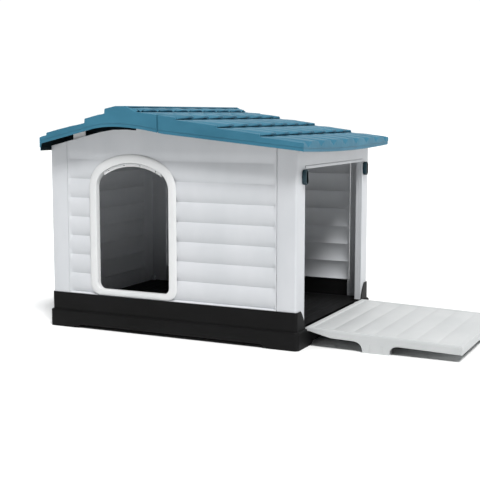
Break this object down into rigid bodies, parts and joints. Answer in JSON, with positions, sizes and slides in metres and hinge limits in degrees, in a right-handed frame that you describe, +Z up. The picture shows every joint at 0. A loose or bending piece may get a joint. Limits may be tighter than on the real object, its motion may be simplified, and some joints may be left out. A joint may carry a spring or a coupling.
{
  "type": "pet house",
  "caption": "Moulded plastic pet house with an arched doorway, a tiled gable roof, a raised base and a side panel that folds down as a terrace.",
  "frame": {"origin": "ground level at the centre of the house's floor plan, on the base's middle pad", "axes": "+X towards the fold-down terrace, -Y is the front with the arched doorway, +Z up"},
  "size_m": [1.2973, 0.746, 0.688],
  "materials": {
    "wall_plastic": "light grey-white moulded polypropylene, fine satin grain",
    "trim_plastic": "white moulded polypropylene, smooth satin",
    "base_plastic": "near-black moulded polypropylene, fine grain",
    "roof_plastic": "teal-blue moulded polypropylene, satin",
    "terrace_plastic": "light grey-white moulded polypropylene, satin",
    "latch_plastic": "dark teal moulded nylon, semi-gloss",
    "zinc_steel": "zinc-plated steel"
  },
  "bodies": {
    "house": {"base_tub": "base_plastic", "front_wall": "wall_plastic", "back_wall": "wall_plastic", "left_wall": "wall_plastic", "post_front_left": "wall_plastic", "post_back_left": "wall_plastic", "post_front_right": "wall_plastic", "post_back_right": "wall_plastic", "side_header": "wall_plastic", "doorway_trim": "trim_plastic", "flap_rail": "trim_plastic", "roof_left": "roof_plastic", "roof_right": "roof_plastic", "roof_clips": "trim_plastic", "base_screws": "zinc_steel", "hinge_pin_front": "zinc_steel", "hinge_pin_back": "zinc_steel"},
    "terrace": {"terrace": "terrace_plastic", "terrace_foot_front": "terrace_plastic", "terrace_foot_back": "terrace_plastic"},
    "latch_front": {"latch_knob_front": "latch_plastic", "latch_spindle_front": "latch_plastic"},
    "latch_back": {"latch_knob_back": "latch_plastic", "latch_spindle_back": "latch_plastic"},
    "drain_plug": {"drain_plug": "latch_plastic"}
  },
  "joints": [
    {"name": "terrace_fold", "type": "hinge", "parent": "house", "child": "terrace", "pos_m": [0.4055, 0, 0.0425], "axis": [0, -1, 0], "range_deg": [0, 91.65]},
    {"name": "latch_front_turn", "type": "hinge", "parent": "house", "child": "latch_front", "pos_m": [0.415, -0.259, 0.489], "axis": [1, 0, 0], "range_deg": [0, 90]},
    {"name": "latch_back_turn", "type": "hinge", "parent": "house", "child": "latch_back", "pos_m": [0.415, 0.259, 0.489], "axis": [1, 0, 0], "range_deg": [-90, 0]},
    {"name": "drain_plug_pull", "type": "slide", "parent": "house", "child": "drain_plug", "axis": [0, 0, 1], "range_m": [0, 0.05]}
  ]
}
